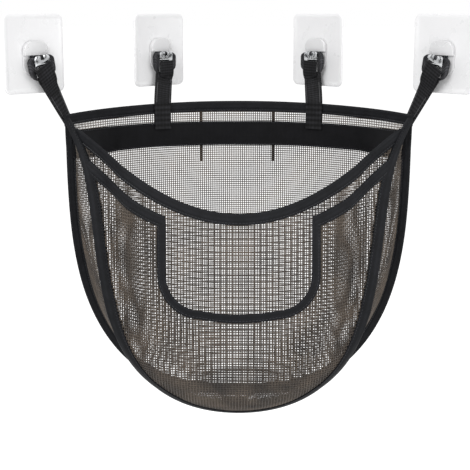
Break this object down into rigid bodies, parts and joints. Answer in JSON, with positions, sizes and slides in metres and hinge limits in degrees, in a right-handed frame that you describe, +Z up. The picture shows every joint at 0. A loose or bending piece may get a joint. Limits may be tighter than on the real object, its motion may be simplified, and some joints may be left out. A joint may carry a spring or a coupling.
{
  "type": "hanging bath toy organizer",
  "caption": "Mesh corner bag with a scooped front and a windowed front pocket, bound in dark tape, hung by webbing loops on chrome hooks riveted to clear adhesive wall pads.",
  "frame": {"origin": "midway between the bag's two upper corners, where the front and the back meet", "axes": "+X to the right seen from the room, +Y into the corner of the room, +Z up"},
  "size_m": [0.505, 0.2689, 0.4578],
  "materials": {
    "mesh": "open square-hole net",
    "binding_tape": "woven, matt",
    "wide_band": "woven, matt",
    "webbing": "ribbed, matt",
    "clear_plastic": "clear, frosted white against the wall",
    "adhesive": "smooth",
    "chrome": "polished"
  },
  "bodies": {
    "pads": {"adhesive_film_left_outer": "adhesive", "adhesive_pad_left_outer": "clear_plastic", "hook_boss_left_outer": "clear_plastic", "hook_rivet_left_outer": "chrome", "adhesive_film_left_middle": "adhesive", "adhesive_pad_left_middle": "clear_plastic", "hook_boss_left_middle": "clear_plastic", "hook_rivet_left_middle": "chrome", "adhesive_film_right_outer": "adhesive", "adhesive_pad_right_outer": "clear_plastic", "hook_boss_right_outer": "clear_plastic", "hook_rivet_right_outer": "chrome", "adhesive_film_right_middle": "adhesive", "adhesive_pad_right_middle": "clear_plastic", "hook_boss_right_middle": "clear_plastic", "hook_rivet_right_middle": "chrome"},
    "bag": {"back_panel": "mesh", "front_panel": "mesh", "pocket_panel": "mesh", "gusset": "mesh", "top_binding": "binding_tape", "back_seam_binding": "binding_tape", "front_rim_binding": "binding_tape", "front_seam_binding": "binding_tape", "pocket_rim_left": "binding_tape", "pocket_rim_right": "binding_tape", "pocket_window_binding": "binding_tape", "back_dart_left": "binding_tape", "back_dart_right": "binding_tape", "back_band": "wide_band", "strap_left_outer": "webbing", "strap_left_middle": "webbing", "strap_right_outer": "webbing", "strap_right_middle": "webbing"},
    "hook_left_outer": {"hook_left_outer": "chrome"},
    "hook_left_middle": {"hook_left_middle": "chrome"},
    "hook_right_outer": {"hook_right_outer": "chrome"},
    "hook_right_middle": {"hook_right_middle": "chrome"}
  },
  "joints": [
    {"name": "hook_left_outer_swivel", "type": "hinge", "parent": "pads", "child": "hook_left_outer", "pos_m": [-0.22557, -0.00357, 0.0795], "axis": [0.7071, -0.7071, 0], "range_deg": [-5, 5]},
    {"name": "hook_left_middle_swivel", "type": "hinge", "parent": "pads", "child": "hook_left_middle", "pos_m": [-0.09758, 0.12442, 0.0795], "axis": [0.7071, -0.7071, 0], "range_deg": [-5, 5]},
    {"name": "hook_right_outer_swivel", "type": "hinge", "parent": "pads", "child": "hook_right_outer", "pos_m": [0.22557, -0.00357, 0.0795], "axis": [-0.7071, -0.7071, 0], "range_deg": [-5, 5]},
    {"name": "hook_right_middle_swivel", "type": "hinge", "parent": "pads", "child": "hook_right_middle", "pos_m": [0.09758, 0.12442, 0.0795], "axis": [-0.7071, -0.7071, 0], "range_deg": [-5, 5]},
    {"name": "bag_lift", "type": "slide", "parent": "pads", "child": "bag", "axis": [0, 0, 1], "range_m": [0, 0.008]}
  ]
}
